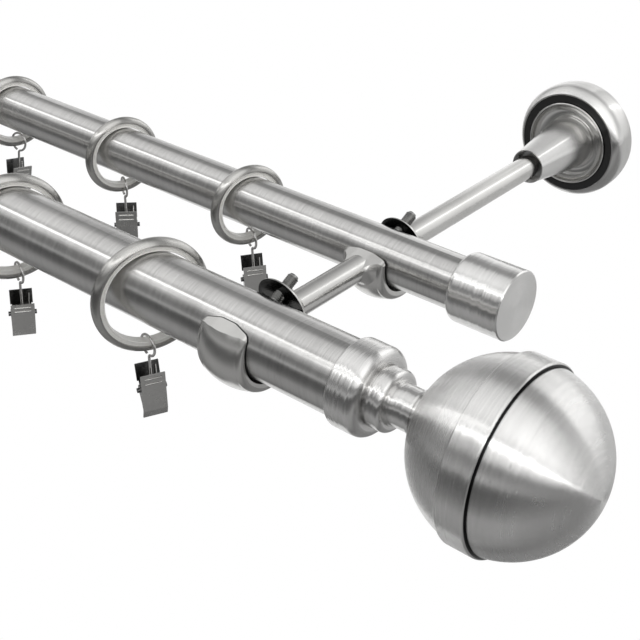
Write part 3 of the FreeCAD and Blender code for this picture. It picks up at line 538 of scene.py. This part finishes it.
def bend_spring(joint):
    """Puts a copy of one clip's spring in its place and hides the CAD node.
    """
    ring = joint["name"].removesuffix("_jaw")
    node = ring + "_clip_spring"
    piece = bpy.data.objects.new(node + "_bending", NODES[node].data.copy())
    bpy.context.scene.collection.objects.link(piece)
    across = Vector(joint["axis"])
    front = Vector(middle(ring + "_clip_front")) - Vector(middle(ring + "_clip_back"))
    front = (front - across * front.dot(across)).normalized()
    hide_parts(node)
    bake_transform(piece)


for joint in frame["record"]["behaviour"]["joints"]:
    if joint["name"].endswith("_jaw"):
        bend_spring(joint)


# Camera

def photo_axes():
    """Right, up and back of the photograph's camera, roll included."""
    azimuth = math.radians(AZIMUTH)
    elevation = math.radians(ELEVATION)
    roll = math.radians(ROLL)
    level = math.cos(elevation)
    back = Vector((math.sin(azimuth) * level, -math.cos(azimuth) * level, math.sin(elevation)))
    right = Vector((math.cos(azimuth), math.sin(azimuth), 0.0))
    up = back.cross(right)
    rolled_right = math.cos(roll) * right + math.sin(roll) * up
    rolled_up = math.cos(roll) * up - math.sin(roll) * right
    return rolled_right, rolled_up, back


right, up, back = photo_axes()
origin = Vector((BRACKET_X, FRONT_Y, 0.0))
eye = origin + (CAMERA_RIGHT * right + CAMERA_UP * up + CAMERA_BACK * back) * MM
camera = bpy.data.objects.new("camera", bpy.data.cameras.new("camera"))
bpy.context.scene.collection.objects.link(camera)
camera.data.sensor_width = SENSOR
camera.data.lens = FOCAL_PX / PHOTO_PX * SENSOR
camera.data.clip_start = NEAREST
camera.data.clip_end = FURTHEST
camera.matrix_world = Matrix.Translation(eye) @ Matrix((right, up, back)).transposed().to_4x4()
bpy.context.scene.camera = camera


# Floor

def behind_object(tree, place):
    """Mask of the floor inside the photograph's frame, with a soft edge outside it."""
    offset = tree.vec("SUBTRACT", place, tuple(eye))
    depth = tree.vec("DOT_PRODUCT", offset, tuple(-back))
    side = tree.math("ABSOLUTE", tree.math("DIVIDE", tree.vec("DOT_PRODUCT", offset, tuple(right)), depth))
    rise = tree.math("ABSOLUTE", tree.math("DIVIDE", tree.vec("DOT_PRODUCT", offset, tuple(up)), depth))
    beyond = tree.math("MAXIMUM", side, rise)
    outside = tree.smooth(beyond, FRAME_HALF * WHITE_EDGE[0], FRAME_HALF * WHITE_EDGE[1])
    inside = tree.math("SUBTRACT", 1.0, outside)
    return tree.math("MULTIPLY", inside, tree.math("GREATER_THAN", depth, 0.0))


def floor_tone(tree, place):
    """How pale the floor is: bands along the poles, a middling part far behind, and a pale left part."""
    ahead = tree.vec("DOT_PRODUCT", place, (0.0, -1.0, 0.0))
    tone = tree.ramp(ahead, FLOOR_TONES)
    behind = tree.vec("DOT_PRODUCT", place, (0.0, 1.0, 0.0))
    tone = tree.span(tree.smooth(behind, *MIDDLING_RANGE), 0, 1, tone, MIDDLING)
    slanted = tree.vec("DOT_PRODUCT", place, (PALE_SLOPE, 1.0, 0.0))
    leftward = tree.smooth(tree.vec("DOT_PRODUCT", place, (-1.0, 0.0, 0.0)), *PALE_LEFT)
    pale = tree.math("MULTIPLY", tree.smooth(slanted, *PALE_RANGE), leftward)
    tone = tree.span(pale, 0, 1, tone, PALE)
    mottle = tree.fitted(tree.noise(place, MOTTLE_SCALE), 1 - FLOOR_MOTTLE, 1 + FLOOR_MOTTLE)
    return tree.math("MULTIPLY", tone, mottle)


def floor_material():
    """Floor that looks white, and that metal mirrors as white where it lies behind the object."""
    made = bpy.data.materials.new("floor")
    made.use_nodes = True
    tree = Tree(made.node_tree)
    place = tree.add("ShaderNodeNewGeometry").outputs["Position"]
    path = tree.add("ShaderNodeLightPath").outputs
    mirrored = tree.math("MAXIMUM", path["Is Glossy Ray"], path["Is Transmission Ray"])
    white = tree.math("MULTIPLY", behind_object(tree, place), mirrored)
    share = tree.math("MAXIMUM", path["Is Camera Ray"], white)
    diffuse = tree.add("ShaderNodeBsdfDiffuse", {"Color": tree.grey(floor_tone(tree, place))})
    glow = tree.add("ShaderNodeEmission", {"Color": rgb(*WHITE), "Strength": 1.0})
    mix = tree.add("ShaderNodeMixShader", {0: share, 1: diffuse, 2: glow})
    tree.add("ShaderNodeOutputMaterial", {"Surface": mix})
    return made


def floor():
    """Plain floor, far below the object."""
    mesh = bpy.data.meshes.new("floor")
    corners = [(x * FLOOR_HALF, y * FLOOR_HALF, FLOOR_Z) for x, y in ((-1, -1), (1, -1), (1, 1), (-1, 1))]
    mesh.from_pydata(corners, [], [(0, 1, 2, 3)])
    made = bpy.data.objects.new("floor", mesh)
    mesh.materials.append(floor_material())
    bpy.context.scene.collection.objects.link(made)


# World and lamps

def world():
    """Long soft boxes side by side, all parallel to the poles: brightness by the angle about the X axis."""
    made = bpy.data.worlds.new("studio")
    made.use_nodes = True
    bpy.context.scene.world = made
    tree = Tree(made.node_tree)
    x, y, z = tree.parts(tree.add("ShaderNodeTexCoord").outputs["Generated"])
    angle = tree.math("DEGREES", tree.math("ARCTAN2", z, tree.math("MULTIPLY", y, -1.0)))
    risen = tree.smooth(angle, *RISE_RANGE)
    slant = tree.math("MULTIPLY", tree.smooth(x, *SLANT_RANGE), SLANT)
    slanted = tree.math("ADD", angle, tree.math("MULTIPLY", slant, risen))
    sky = tree.ramp(slanted, SKY)
    backward = tree.math("MULTIPLY", tree.smooth(slanted, *BACK_RANGE), tree.smooth(x, *SLANT_RANGE))
    sky = tree.math("MULTIPLY", sky, tree.span(backward, 0, 1, 1, BACK_FADE))
    rightward = tree.math("MULTIPLY", tree.smooth(x, *RIGHT_RANGE), risen)
    sky = tree.math("MULTIPLY", sky, tree.span(rightward, 0, 1, 1, 1 + RIGHT_GAIN))
    side_angle = tree.math("DEGREES", tree.math("ARCTAN2", z, x))
    side_light = tree.math("MULTIPLY", tree.ramp(side_angle, SIDE), tree.smooth(y, *SIDE_RANGE))
    light = tree.grey(tree.math("ADD", sky, side_light))
    direct = tree.add("ShaderNodeLightPath").outputs["Is Camera Ray"]
    background = tree.add("ShaderNodeBackground", {0: tree.mix_rgb(direct, light, rgb(*WHITE)), 1: 1.0})
    tree.add("ShaderNodeOutputWorld", {"Surface": background})


def wall_card(sign):
    """Soft card behind one bracket, for its cone and rosette to mirror."""
    width, height = CARD_SIZE
    data = bpy.data.lights.new("card", "AREA")
    data.shape = "RECTANGLE"
    data.size = width
    data.size_y = height
    data.energy = CARD_BRIGHTNESS * math.pi * width * height
    card = bpy.data.objects.new("card", data)
    card.location = (sign * BRACKET_X - CARD_LEFT, CARD_BEHIND, CARD_UP)
    card.rotation_euler = (math.radians(-90), 0.0, 0.0)
    card.visible_camera = False
    bpy.context.scene.collection.objects.link(card)


floor()
world()
for sign in SIDES.values():
    wall_card(sign)

bpy.context.scene.view_settings.view_transform = "Standard"
